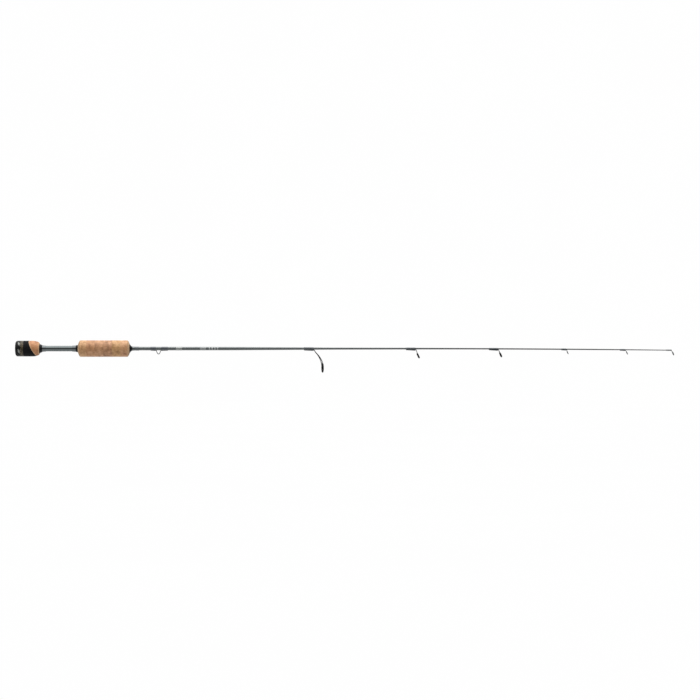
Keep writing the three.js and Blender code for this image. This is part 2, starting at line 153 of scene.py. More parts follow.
# Line guides, rear to front: the wrap's varnish and its extra under the foot, the wire's radius,
# the outer diameter over the frame, the ring's width, its plane's lean to the rod and twist about
# the vertical, and the way that a leg leaves its foot and meets the ring.
GUIDES = (
    {"varnish": 0.3, "bulk": 0.15, "wire": 0.53, "outer": 13.55, "width": 2.0,
     "lean": 90, "twist": 9.5, "bow": (2.2, -4.2), "reach": 14.0},
    {"varnish": 0.3, "bulk": 0.3, "wire": 0.43, "outer": 8.2, "width": 2.4,
     "lean": 65, "twist": 0, "bow": (0.9, -0.6), "reach": 3.0},
    {"varnish": 0.3, "bulk": 0.3, "wire": 0.43, "outer": 7.6, "width": 2.4,
     "lean": 65, "twist": 0, "bow": (0.8, -0.6), "reach": 2.4},
    {"varnish": 0.24, "bulk": 0.06, "wire": 0.32, "outer": 5.2, "width": 1.15,
     "lean": 65, "twist": 0, "bow": (0.4, -0.4), "reach": 1.0},
    {"varnish": 0.24, "bulk": 0.06, "wire": 0.32, "outer": 5.0, "width": 1.15,
     "lean": 65, "twist": 0, "bow": (0.4, -0.4), "reach": 0.8},
)
TIP = {"wire": 0.34, "outer": 5.6, "width": 1.4, "lean": 68, "twist": 0, "tube": 0.9, "wall": 1.2,
       "length": 7.6, "brace": ((-0.6, 0.3, 0.0), (0.0, 0.6, -1.1))}
BEZEL_RISE = 0.3            # how far a bezel stands out past its wire's centreline, in wire radii
BEZEL_WALL = 1.55
BEZEL_WIDTH = 0.8           # as a share of the ceramic ring's width
BEZEL_EASE = 0.16
RING_BORE = 0.755
RING_GAP = 0.06
LEG_SPREAD = 0.12
WIRE_STEP = 0.55            # spacing of the points along a guide's wire, in wire radii
FOOT_TOE_INSIDE = 1.0       # how far a guide's toe stays inside its wrap
FOOT_HEEL_OUTSIDE = 0.3     # how far its heel stands out in front
FEET_GAP = 0.04             # half the gap between its two feet
SHOULDER = 0.7
TIP_EASE = 0.3

# Plain marks in place of the printing: [rear, front, strength] on the blank, and a ring of
# strokes round the butt cap, with the angles from one to the next, over half of one, and up to
# the middle of the first, and how much they slant for each millimetre along the cap.
BLANK_MARKS = ((256.0, 264.5, 0.5), (268.5, 270.0, 0.8), (272.3, 273.8, 0.8), (276.1, 277.6, 0.8),
               (279.9, 281.4, 0.8))
MARK_HALF_ANGLE = math.radians(40)
MARK_BLUR = 0.1             # half the width of a mark's soft edge, in millimetres or radians
TAPE_PITCH = 1.9            # of the graphite's spiral lines
BUSH_PITCH = 5.236          # of the tape on the bushes
BLANK_DARKENS = (300.0, 780.0)
STROKE = {"rear": 4.6, "front": 7.0, "turn": math.radians(60), "half": math.radians(12),
          "middle": math.radians(39), "slant": math.radians(5)}


def srgb(red, green, blue):
    """A colour of 0 to 255 as Blender's linear RGBA."""
    def linear(value):
        share = value / 255
        return share / 12.92 if share <= 0.04045 else ((share + 0.055) / 1.055) ** 2.4
    return (linear(red), linear(green), linear(blue), 1.0)


# ---- The frame's boxes and the blank's shape --------------------------------------------------

def span(node):
    """Rear and front end of a CAD node along the rod."""
    low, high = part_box(node)
    return low.x / MM, high.x / MM


def outer_radius(node, facets=None):
    """Radius of a turned CAD node at its flats, or at its corners if facets says how many."""
    low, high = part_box(node)
    half = (high.z - low.z) / 2 / MM
    return half / math.cos(math.pi / facets) if facets else half


def middle_of(node):
    low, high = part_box(node)
    return (low + high) / 2 / MM


def smooth(value, low, high):
    """0 below low, 1 above high, and a smooth step between; low may be the larger one."""
    share = min(1.0, max(0.0, (value - low) / (high - low)))
    return share * share * (3 - 2 * share)


def read_blank():
    """The CAD blank's stations as [x, radius], rear to front, and the droop at its tip."""
    rings = {}
    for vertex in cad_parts["blank"].data.vertices:
        rings.setdefault(round(vertex.co.x / MM, 1), []).append(vertex.co / MM)
    stations = []
    height = 0.0
    for x in sorted(rings):
        ring = rings[x]
        height = (max(p.z for p in ring) + min(p.z for p in ring)) / 2
        stations.append((x, max(math.hypot(p.y, p.z - height) for p in ring)))
    return stations, -height


BLANK, TIP_DROOP = read_blank()
HANDLE_BORE = outer_radius("handle_tube", TUBE_FACETS) + SEAM


def blank_radius(x):
    for (rear, rear_radius), (front, front_radius) in zip(BLANK, BLANK[1:]):
        if x <= front:
            share = (x - rear) / (front - rear)
            return rear_radius + share * (front_radius - rear_radius)
    return BLANK[-1][1]


def droop(x):
    along = max(0.0, (x - SAG_START) / (BLANK[-1][0] - SAG_START))
    return TIP_DROOP * along * along


# ---- Meshes -----------------------------------------------------------------------------------

class Shape:
    """A closed mesh in the making: points in millimetres, faces, and named values at points."""

    def __init__(self, points, faces):
        self.points = [Vector(point) for point in points]
        self.faces = faces
        self.values = {}

    def move(self, change):
        self.points = [Vector(change(point)) for point in self.points]
        return self

    def droop(self):
        return self.move(lambda p: (p.x, p.y, p.z - droop(p.x)))

    def mark(self, name, value_at):
        self.values[name] = [value_at(point) for point in self.points]
        return self

    def mesh(self, name):
        mesh = bpy.data.meshes.new(name)
        mesh.from_pydata([point * MM for point in self.points], [], self.faces)
        for label, values in self.values.items():
            mesh.attributes.new(label, "FLOAT", "POINT").data.foreach_set("value", values)
        return mesh


def turned(outline, sides):
    """Turns an outline of (x, radius) points about the rod's axis. It runs from rear to front
    outside, and starts and ends on the axis, or at one point."""
    closed = outline[0] == outline[-1]
    stations = outline[:-1] if closed else outline
    points = []
    rings = []
    for x, radius in stations:
        first = len(points)
        if radius == 0:
            points.append((x, 0, 0))
            rings.append([first] * sides)
            continue
        for side in range(sides):
            angle = 2 * math.pi * side / sides
            points.append((x, radius * math.sin(angle), radius * math.cos(angle)))
        rings.append(list(range(first, first + sides)))
    pairs = list(zip(rings, rings[1:]))
    if closed:
        pairs.append((rings[-1], rings[0]))
    faces = []
    for rear, front in pairs:
        for side in range(sides):
            after = (side + 1) % sides
            corners = dict.fromkeys((rear[side], front[side], front[after], rear[after]))
            if len(corners) > 2:
                faces.append(tuple(corners))
    return Shape(points, faces)


def eased(outline, radius, steps=4):
    """Rounds the corners of an outline that turn by more than 20 degrees."""
    closed = outline[0] == outline[-1]
    corners = [Vector(point) for point in (outline[:-1] if closed else outline)]
    rounded = []
    for i, corner in enumerate(corners):
        if not closed and i in (0, len(corners) - 1):
            rounded.append(tuple(corner))
            continue
        back = corners[i - 1] - corner
        on = corners[(i + 1) % len(corners)] - corner
        turn = math.pi - back.angle(on)
        if turn < math.radians(20):
            rounded.append(tuple(corner))
            continue
        reach = min(radius, 0.45 * back.length, 0.45 * on.length)
        start = corner + back.normalized() * reach
        end = corner + on.normalized() * reach
        for step in range(steps + 1):
            share = step / steps
            point = start.lerp(corner, share).lerp(corner.lerp(end, share), share)
            rounded.append(tuple(point))
    if closed:
        rounded.append(rounded[0])
    return rounded


def bored(outline, bore):
    """Closes an outer outline with a bore of that radius."""
    rear = outline[0][0]
    front = outline[-1][0]
    return [(rear, bore), *outline, (front, bore), (rear, bore)]


def stepped(rear, front, step):
    """Evenly spaced places from rear to front, about step apart."""
    count = max(1, math.ceil((front - rear) / step))
    return [rear + (front - rear) * i / count for i in range(count + 1)]


def smooth_path(corners, step):
    """Points about step apart on the centripetal Catmull-Rom curve through the corners."""
    corners = [Vector(corner) for corner in corners]
    ends = [2 * corners[0] - corners[1], *corners, 2 * corners[-1] - corners[-2]]
    path = []
    for p0, p1, p2, p3 in zip(ends, ends[1:], ends[2:], ends[3:]):
        t1 = math.sqrt((p1 - p0).length)
        t2 = t1 + math.sqrt((p2 - p1).length)
        t3 = t2 + math.sqrt((p3 - p2).length)
        for t in stepped(t1, t2, step * (t2 - t1) / (p2 - p1).length)[:-1]:
            a1 = p0.lerp(p1, t / t1)
            a2 = p1.lerp(p2, (t - t1) / (t2 - t1))
            a3 = p2.lerp(p3, (t - t2) / (t3 - t2))
            early = a1.lerp(a2, t / t2)
            late = a2.lerp(a3, (t - t1) / (t3 - t1))
            path.append(early.lerp(late, (t - t1) / (t2 - t1)))
    path.append(corners[-1])
    return path


def swept(path, radius, sides=14):
    """A round wire along a path, with domed ends."""
    cap = [math.radians(angle) for angle in (75, 50, 25)]
    ahead = [(b - a).normalized() for a, b in zip(path, path[1:])]
    tangents = [ahead[0]]
    tangents += [(a + b).normalized() for a, b in zip(ahead, ahead[1:])]
    tangents.append(ahead[-1])
    across = tangents[0].orthogonal().normalized()
    rings = []
    for i, (point, tangent) in enumerate(zip(path, tangents)):
        if i:
            across = tangents[i - 1].rotation_difference(tangent) @ across
            across = (across - tangent * across.dot(tangent)).normalized()
        rings.append((point, across, tangent.cross(across), radius))
    domes = []
    for end, sign in ((rings[0], -1), (rings[-1], 1)):
        tangent = tangents[0] if sign < 0 else tangents[-1]
        dome = []
        for angle in cap:
            place = end[0] + sign * tangent * radius * math.sin(angle)
            dome.append((place, end[1], end[2], radius * math.cos(angle)))
        domes.append(dome if sign < 0 else dome[::-1])
    rings = [*domes[0], *rings, *domes[1]]
    points = [path[0] - tangents[0] * radius]
    for point, side, up, size in rings:
        for k in range(sides):
            angle = 2 * math.pi * k / sides
            points.append(point + size * (math.cos(angle) * side + math.sin(angle) * up))
    points.append(path[-1] + tangents[-1] * radius)
    last = len(points) - 1
    faces = []
    for k in range(sides):
        after = (k + 1) % sides
        faces.append((0, 1 + after, 1 + k))
        faces.append((last, last - sides + k, last - sides + after))
        for ring in range(len(rings) - 1):
            first = 1 + ring * sides
            faces.append((first + k, first + after, first + sides + after, first + sides + k))
    return Shape(points, faces)


def new_object(name, data):
    obj = bpy.data.objects.new(name, data)
    bpy.context.scene.collection.objects.link(obj)
    return obj


def united(name, shapes):
    """One closed mesh of several that bite into each other."""
    parts = [new_object(name, shape.mesh(name)) for shape in shapes]
    for other in parts[1:]:
        join = parts[0].modifiers.new("join", "BOOLEAN")
        join.operation = "UNION"
        join.solver = "EXACT"
        join.object = other
    bpy.context.view_layer.update()
    graph = bpy.context.evaluated_depsgraph_get()
    mesh = bpy.data.meshes.new_from_object(parts[0].evaluated_get(graph), depsgraph=graph)
    for part in parts:
        bpy.data.objects.remove(part)
    return mesh


def add_piece(node, shape, material, crease=35):
    """Shows a shape, or a finished mesh, in place of a CAD node."""
    name = node + "_look"
    mesh = shape.mesh(name) if isinstance(shape, Shape) else shape
    mesh.materials.clear()
    mesh.materials.append(material)
    mesh.shade_smooth()
    mesh.set_sharp_from_angle(angle=math.radians(crease))
    piece = new_object(name, mesh)
    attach(piece, "root")
    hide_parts(node)


# ---- Material recipes -------------------------------------------------------------------------

class Recipe:
    """A Principled material built node by node. Patterns are laid out in millimetres."""

    def __init__(self, name, finish):
        self.material = bpy.data.materials.new(name)
        self.material.use_nodes = True
        self.tree = self.material.node_tree
        self.shader = self.tree.nodes["Principled BSDF"]
        for socket, value in finish.items():
            self.shader.inputs[socket].default_value = value
        where = self.tree.nodes.new("ShaderNodeTexCoord").outputs["Object"]
        scaled = self.node("ShaderNodeVectorMath", {0: where, "Scale": 1 / MM}, operation="SCALE")
        self.place = scaled.outputs[0]

    def feed(self, socket, value):
        if isinstance(value, bpy.types.NodeSocket):
            self.tree.links.new(value, socket)
        else:
            socket.default_value = value

    def node(self, kind, inputs, **settings):
        made = self.tree.nodes.new(kind)
        for name, value in settings.items():
            setattr(made, name, value)
        for socket, value in inputs.items():
            self.feed(made.inputs[socket], value)
        return made

    def paint(self, socket, value):
        self.feed(self.shader.inputs[socket], value)

    def math(self, operation, a, b=0.0, c=0.0):
        return self.node("ShaderNodeMath", {0: a, 1: b, 2: c}, operation=operation).outputs[0]

    def total(self, *two_terms):
        """Sum of two terms, each a value and its weight."""
        weighted = [value if weight == 1 else self.math("MULTIPLY", value, weight)
                    for value, weight in two_terms]
        return self.math("ADD", *weighted)

    def step(self, value, low, high, to_low=0.0, to_high=1.0):
        inputs = {"Value": value, "From Min": low, "From Max": high, "To Min": to_low,
                  "To Max": to_high}
        return self.node("ShaderNodeMapRange", inputs, interpolation_type="SMOOTHSTEP").outputs[0]

    def mix(self, share, a, b):
        return self.node("ShaderNodeMix", {0: share, 6: a, 7: b}, data_type="RGBA").outputs[2]

    def blend(self, value, low, high, a, b):
        """Colour a where the value is under low, b where it is over high."""
        return self.mix(self.step(value, low, high), a, b)

    def moved(self, by=(0, 0, 0), stretch=(1, 1, 1)):
        inputs = {0: self.place, 1: stretch, 2: by}
        return self.node("ShaderNodeVectorMath", inputs, operation="MULTIPLY_ADD").outputs[0]

    def noise(self, where, scale, detail=3.0, rough=0.55):
        inputs = {"Vector": where, "Scale": scale, "Detail": detail, "Roughness": rough}
        return self.node("ShaderNodeTexNoise", inputs).outputs[0]

    def cells(self, where, scale):
        inputs = {"Vector": where, "Scale": scale}
        return self.node("ShaderNodeTexVoronoi", inputs).outputs["Distance"]

    def value(self, name):
        return self.node("ShaderNodeAttribute", {}, attribute_name=name).outputs["Fac"]

    def axes(self):
        parts = self.node("ShaderNodeSeparateXYZ", {0: self.place}).outputs
        return parts[0], parts[1], parts[2]

    def elevation(self):
        """Angle round the rod from the -Y side up towards +Z."""
        _, y, z = self.axes()
        return self.math("ARCTAN2", z, self.math("MULTIPLY", y, -1.0))

    def spiral(self, pitch):
        """A wave round the rod that moves on by the pitch with each turn."""
        around = self.total((self.axes()[0], 2 * math.pi / pitch), (self.elevation(), 1))
        return self.math("SINE", around)

    def relief(self, height, depth):
        """Bumps of that depth in millimetres."""
        bump = self.node("ShaderNodeBump", {"Height": height, "Distance": depth * MM, "Strength": 1.0})
        self.paint("Normal", bump.outputs[0])


def toned(colour, share):
    """A lighter or darker tone of a colour."""
    return tuple(min(1.0, part * share) for part in colour[:3]) + (1.0,)


def cork(name, pale, tan, brown, seed, edge):
    """Natural cork: blotches, streaks, fine grain and dark pits, with its edges in another tone."""
    recipe = Recipe(name, {"Specular IOR Level": 0.7, "Sheen Weight": 0.12, "Sheen Roughness": 0.4})
    blotch = recipe.noise(recipe.moved((seed, 0, 0)), 0.17, 2.0)
    streak = recipe.noise(recipe.moved((0, seed, 0), (0.35, 1, 1)), 0.8, 4.0, 0.6)
    grain = recipe.noise(recipe.place, 4.5, 3.0, 0.7)
    shade = recipe.total((blotch, 0.62), (streak, 0.38))
    colour = recipe.blend(shade, 0.32, 0.52, brown, tan)
    colour = recipe.blend(shade, 0.5, 0.68, colour, pale)
    colour = recipe.mix(recipe.step(grain, 0.5, 0.72, 0.0, 0.22), colour, brown)
    fleck = recipe.noise(recipe.moved((0, 0, seed), (0.6, 1, 1)), 1.9, 2.0, 0.5)
    colour = recipe.mix(recipe.step(fleck, 0.66, 0.74, 0.0, 0.6), colour, srgb(104, 66, 40))
    worn = recipe.math("MULTIPLY", recipe.value("edge"), recipe.step(streak, 0.3, 0.6, 0.35, 1.0))
    colour = recipe.mix(worn, colour, edge)
    colour = recipe.mix(recipe.value("pit"), colour, srgb(84, 55, 36))
    recipe.paint("Base Color", colour)
    recipe.paint("Roughness", recipe.step(grain, 0.3, 0.7, 0.45, 0.62))
    recipe.relief(recipe.total((grain, 1), (streak, 0.6)), 0.12)
    return recipe.material


def moulded(name, tone, roughness):
    """Satin moulded rubber or plastic with a faint skin texture."""
    recipe = Recipe(name, {"Specular IOR Level": 0.28})
    skin = recipe.noise(recipe.place, 3.5, 4.0, 0.65)
    cloud = recipe.noise(recipe.place, 0.4, 2.0)
    recipe.paint("Base Color", recipe.blend(cloud, 0.35, 0.7, tone, toned(tone, 1.7)))
    recipe.paint("Roughness", recipe.step(skin, 0.3, 0.7, roughness - 0.08, roughness + 0.08))
    recipe.relief(skin, 0.03)
    return recipe


def stroked_rubber():
    """The butt cap: black rubber with a ring of slanted pale strokes, worn at their edges."""
    recipe = moulded("cap_rubber", srgb(6, 7, 7), 0.5)
    x, _, _ = recipe.axes()
    length = STROKE["front"] - STROKE["rear"]
    middle = (STROKE["rear"] + STROKE["front"]) / 2
    ahead = recipe.math("SUBTRACT", x, middle)
    slanted = recipe.total((recipe.elevation(), 1), (ahead, STROKE["slant"]))
    turn = recipe.math("SUBTRACT", slanted, STROKE["middle"])
    share = recipe.math("WRAP", recipe.math("DIVIDE", turn, STROKE["turn"]), 0.5, -0.5)
    wear = recipe.step(recipe.noise(recipe.place, 1.6, 4.0, 0.7), 0.35, 0.65, -0.45, 0.45)
    aside = recipe.math("MULTIPLY", recipe.math("ABSOLUTE", share), STROKE["turn"])
    along = recipe.math("ABSOLUTE", ahead)
    across = recipe.step(recipe.total((aside, 1), (wear, 0.1)),
                         STROKE["half"] + 0.03, STROKE["half"] - 0.03)
    within = recipe.step(recipe.math("ADD", along, wear), length / 2 + 0.15, length / 2 - 0.15)
    stroke = recipe.math("MULTIPLY", across, within)
    base = recipe.shader.inputs["Base Color"].links[0].from_socket
    strength = recipe.math("MULTIPLY", stroke, 0.85)
    recipe.paint("Base Color", recipe.mix(strength, base, srgb(176, 178, 172)))
    return recipe.material


def foam():
    """Dense black foam with fine closed cells and a slight blue cast."""
    recipe = Recipe("grip_foam", {"Roughness": 0.85, "Specular IOR Level": 0.22})
    cell = recipe.cells(recipe.place, 3.2)
    cloud = recipe.noise(recipe.place, 0.5, 3.0)
    colour = recipe.blend(cloud, 0.3, 0.7, srgb(8, 7, 8), srgb(17, 16, 19))
    colour = recipe.mix(recipe.step(cell, 0.35, 0.1, 0.0, 0.6), colour, srgb(5, 5, 6))
    recipe.paint("Base Color", colour)
    recipe.paint("Roughness", recipe.step(cell, 0.1, 0.6, 0.95, 0.7))
    recipe.relief(cell, 0.09)
    return recipe.material


def mottled_band():
    """Glossy olive-brown ring with blotches in three tones."""
    finish = {"Roughness": 0.5, "Specular IOR Level": 0.3, "Coat Weight": 0.3, "Coat Roughness": 0.15}
    recipe = Recipe("band_mottle", finish)
    blotch = recipe.noise(recipe.moved((7, 3, 1)), 0.42, 3.0, 0.6)
    fleck = recipe.noise(recipe.moved((2, 9, 4)), 0.95, 2.0, 0.5)
    colour = recipe.blend(blotch, 0.42, 0.5, srgb(20, 18, 12), srgb(72, 65, 40))
    colour = recipe.blend(fleck, 0.55, 0.62, colour, srgb(140, 118, 96))
    recipe.paint("Base Color", colour)
    recipe.relief(blotch, 0.03)
    return recipe.material


def drawn_metal(name, tone, roughness, lines=1.0):
    """Silver-grey metal with fine lines along the rod."""
    recipe = Recipe(name, {"Metallic": 1.0})
    line = recipe.noise(recipe.moved((0, 0, 0), (0.03, 1, 1)), 7.0 * lines, 3.0, 0.7)
    cloud = recipe.noise(recipe.moved((0, 0, 0), (0.2, 1, 1)), 0.5, 2.0)
    shade = recipe.total((line, 0.6), (cloud, 0.4))
    recipe.paint("Base Color", recipe.blend(shade, 0.35, 0.65, toned(tone, 0.82), tone))
    recipe.paint("Roughness", recipe.step(line, 0.3, 0.7, roughness - 0.06, roughness + 0.06))
    recipe.relief(line, 0.006)
    return recipe.material


def plated_wire(name, tone, roughness):
    """Plated wire with slight wear on its polish."""
    recipe = Recipe(name, {"Metallic": 1.0})
    wear = recipe.noise(recipe.place, 1.3, 4.0, 0.65)
    recipe.paint("Base Color", recipe.blend(wear, 0.4, 0.7, tone, toned(tone, 1.35)))
    recipe.paint("Roughness", recipe.step(wear, 0.3, 0.7, roughness, roughness + 0.14))
    recipe.relief(wear, 0.008)
    return recipe.material


def ceramic():
    """Polished black ceramic with a barely clouded surface."""
    recipe = Recipe("ring_ceramic", {"Specular IOR Level": 0.7})
    cloud = recipe.noise(recipe.place, 1.1, 3.0)
    recipe.paint("Base Color", recipe.mix(cloud, srgb(9, 9, 11), srgb(22, 22, 25)))
    recipe.paint("Roughness", recipe.step(cloud, 0.3, 0.7, 0.1, 0.18))
    return recipe.material


def graphite():
    """Clear-coated graphite with faint spiral tape lines, and plain pale marks ahead of the trim."""
    finish = {"Roughness": 0.3, "Metallic": 0.7, "Coat Weight": 0.7, "Coat Roughness": 0.1}
    recipe = Recipe("blank_graphite", finish)
    x, _, _ = recipe.axes()
    elevation = recipe.elevation()
    spiral = recipe.spiral(TAPE_PITCH)
    fibre = recipe.noise(recipe.moved((0, 0, 0), (0.08, 1, 1)), 3.0, 4.0, 0.6)
    tone = recipe.total((spiral, 0.08), (fibre, 1))
    butt = recipe.blend(tone, 0.3, 0.72, srgb(88, 93, 93), srgb(114, 120, 120))
    tip = recipe.blend(tone, 0.3, 0.72, srgb(44, 46, 46), srgb(60, 62, 62))
    colour = recipe.blend(x, *BLANK_DARKENS, butt, tip)
    facing = recipe.step(recipe.math("ABSOLUTE", elevation), MARK_HALF_ANGLE + MARK_BLUR,
                         MARK_HALF_ANGLE - MARK_BLUR)
    for rear, front, strength in BLANK_MARKS:
        half = (front - rear) / 2
        away = recipe.math("ABSOLUTE", recipe.math("SUBTRACT", x, (rear + front) / 2))
        on_mark = recipe.step(away, half + MARK_BLUR, half - MARK_BLUR, 0.0, strength)
        colour = recipe.mix(recipe.math("MULTIPLY", on_mark, facing), colour, srgb(196, 199, 198))
    recipe.paint("Base Color", colour)
    recipe.relief(recipe.total((spiral, 0.5), (fibre, 1)), 0.004)
    return recipe.material


def varnished_thread(name, thread, alternate):
    """Winding thread under clear varnish: turns of two near tones, and bare varnish past the ends."""
    finish = {"Roughness": 0.35, "Metallic": 0.45, "Coat Weight": 1.0, "Coat Roughness": 0.06}
    recipe = Recipe(name, finish)
    strand = recipe.spiral(THREAD_PITCH)
    cloud = recipe.noise(recipe.place, 0.7, 3.0)
    colour = recipe.blend(strand, -0.8, 0.6, alternate, thread)
    colour = recipe.mix(recipe.step(cloud, 0.4, 0.75, 0.0, 0.5), colour, alternate)
    recipe.paint("Base Color", recipe.mix(recipe.value("thread"), BARE_BLANK, colour))
    recipe.relief(strand, 0.01)
    return recipe.material


# ---- Handle -----------------------------------------------------------------------------------

def knob_radius_at(x, full):
    """Radius of the knob's straight body and of its rounded nose."""
    front = span("butt_cork")[1]
    along = max(0.0, (x - KNOB_SHOULDER) / (front - KNOB_SHOULDER))
    return KNOB_NOSE_RADIUS + (full - KNOB_NOSE_RADIUS) * math.sqrt(max(0.0, 1 - along * along))


def joint_normal():
    across = JOINT_SLOPE * Vector((0, -math.cos(JOINT_TURN), math.sin(JOINT_TURN)))
    return (Vector((1, 0, 0)) + across).normalized()


def joint_distance(point):
    """Distance ahead of the slanted joint."""
    return (point - Vector((JOINT_CENTRE, 0, 0))).dot(joint_normal())


def build_cap():
    radius = outer_radius("butt_cap")
    edge_length, edge_height = KNOB_EDGE
    groove_in, groove_out, groove_depth = CAP_GROOVE
    outline = [(0, 0), (0, groove_in), (groove_depth, groove_in), (groove_depth, groove_out),
               (0, groove_out), (0, KNOB_FLAT_RADIUS)]
    for step in range(KNOB_EDGE_STEPS + 1):
        angle = math.pi / 2 * step / KNOB_EDGE_STEPS
        x = KNOB_DOME + edge_length * (1 - math.cos(angle))
        outline.append((x, radius - edge_height * (1 - math.sin(angle))))
    plug_front = span("butt_cap")[1]
    outline += [(CAP_FRONT, radius), (CAP_FRONT, PLUG_RADIUS), (plug_front, PLUG_RADIUS)]
    outline.append((plug_front, 0))
    add_piece("butt_cap", turned(eased(outline, CAP_EASE), KNOB_SIDES), stroked_rubber())


def build_band():
    rear = CAP_FRONT + SEAM
    front = span("butt_band")[1]
    radius = outer_radius("butt_band")
    length, height = BAND_BEVEL
    outline = [(rear, radius - height), (rear + length, radius), (front - length, radius),
               (front, radius - height)]
    shape = turned(eased(bored(outline, BAND_BORE), BAND_EASE), KNOB_SIDES)
    add_piece("butt_band", shape, mottled_band())


def cut_at_joint(shape, name, side):
    """Keeps what lies behind the slanted joint (side -1) or ahead of it (side 1)."""
    mesh = shape.mesh(name)
    work = bmesh.new()
    work.from_mesh(mesh)
    normal = joint_normal()
    through = (Vector((JOINT_CENTRE, 0, 0)) + normal * side * SEAM / 2) * MM
    everything = [*work.verts, *work.edges, *work.faces]
    cut = bmesh.ops.bisect_plane(work, geom=everything, plane_co=through, plane_no=normal * side,
                                 clear_inner=True, dist=1e-7)
    edges = [item for item in cut["geom_cut"] if isinstance(item, bmesh.types.BMEdge)]
    bmesh.ops.triangle_fill(work, edges=edges, use_beauty=True, use_dissolve=False)
    bmesh.ops.recalc_face_normals(work, faces=work.faces)
    work.to_mesh(mesh)
    work.free()
    return mesh


def cork_pit(point, seed):
    """How deep in a pit or short crack a point of the cork's surface lies, from 0 to 1."""
    wobble = 0.3 * noise.noise(point * 1.1 + Vector((seed, 0, 0)))
    stretched = Vector((point.x * 0.55 + seed, point.y, point.z)) * 0.42
    distances, centres = noise.voronoi(stretched)
    luck = noise.cell(centres[0] * 7.3 + Vector((seed, 1.7, 0)))
    size = max(0.0, 0.34 * (luck - 0.42))
    return smooth(distances[0] + 0.25 * wobble, size, size * 0.35) if size > 0.02 else 0.0


def pitted(shape, seed, depth):
    """Sinks the pits into a cork shape's outer surface, not its bore, and marks them."""
    pits = []
    for point in shape.points:
        radius = math.hypot(point.y, point.z)
        if radius <= HANDLE_BORE + 1:
            pits.append(0.0)
            continue
        pit = cork_pit(point, seed)
        ripple = 0.03 * noise.noise(point * 0.9 + Vector((0, seed, 0))) - 0.03
        grow = (radius + ripple - depth * pit) / radius
        point.y *= grow
        point.z *= grow
        pits.append(pit)
    shape.values["pit"] = pits
    return shape


def build_knob():
    rear = span("butt_sleeve")[0] - CAD_GAP + SEAM
    front = span("butt_cork")[1]
    full = outer_radius("butt_band")
    places = stepped(rear, front, CORK_STEP)
    outline = bored([(x, knob_radius_at(x, full)) for x in places], HANDLE_BORE)
    sides = round(2 * math.pi * full / CORK_STEP)

    sleeve = turned(outline, sides)
    add_piece("butt_sleeve", cut_at_joint(sleeve, "sleeve", -1), foam())

    body = pitted(turned(outline, sides), 3.1, KNOB_PIT_DEPTH)
    body.mark("edge", lambda p: max(smooth(joint_distance(p), *WORN_AT_JOINT),
                                    smooth(front - p.x, *WORN_AT_NOSE)))
    tones = (srgb(226, 168, 122), srgb(204, 142, 94), srgb(158, 96, 56))
    look = cork("knob_cork", *tones, 11.0, srgb(226, 186, 142))
    add_piece("butt_cork", cut_at_joint(body, "cork", 1), look)


def build_tube():
    metal = drawn_metal("tube_metal", srgb(120, 127, 127), 0.13)
    rear, front = span("handle_tube")
    radius = outer_radius("handle_tube", TUBE_FACETS)
    outline = [(x, radius) for x in stepped(rear, front, TUBE_STEP)]
    shape = turned(eased(bored(outline, TUBE_BORE), TUBE_EASE), TRIM_SIDES)
    add_piece("handle_tube", shape, metal)


def build_trim_ring(node, bore, material):
    """A turned ring that tapers away from its wide end, with soft edges."""
    ring = TRIM[node]
    wide = outer_radius(node, TUBE_FACETS)
    radii = (wide, ring["narrow"]) if ring["wide"] == "rear" else (ring["narrow"], wide)
    rear, front = span(node)
    outline = bored([(rear - SEAM, radii[0]), (front + SEAM, radii[1])], bore)
    add_piece(node, turned(eased(outline, ring["ease"], 6), TRIM_SIDES), material)


def build_trim():
    black = moulded("check_plastic", srgb(7, 7, 8), 0.4).material
    metal = drawn_metal("trim_metal", srgb(118, 123, 124), 0.14, 1.5)
    build_trim_ring("butt_winding_check", HANDLE_BORE, black)
    build_trim_ring("butt_collar", HANDLE_BORE, metal)
    build_trim_ring("grip_rear_collar", HANDLE_BORE, metal)
    build_trim_ring("grip_rear_check", HANDLE_BORE, black)

    rear, front = span("grip_front_check")
    wide = outer_radius("grip_front_check", TUBE_FACETS)
    bore = blank_radius(rear) + SEAM
    outline = []
    for x in stepped(rear, front, CONE_STEP):
        along = (x - rear) / (front - rear)
        outline.append((x, wide - (wide - CONE_NECK) * math.sin(math.pi / 2 * along)))
    cone = turned(eased(bored(outline, bore), CONE_EASE), TRIM_SIDES)
    add_piece("grip_front_check", cone, black)
    build_trim_ring("grip_front_ring", bore, metal)


def grip_radius(x, rear, front, full):
    """A plain cylinder with a convex chamfer at each end."""
    inward = min(x - rear, front - x)
    along = min(1.0, max(0.0, inward) / GRIP_CHAMFER)
    return GRIP_FACE_RADIUS + (full - GRIP_FACE_RADIUS) * math.sin(math.pi / 2 * along)


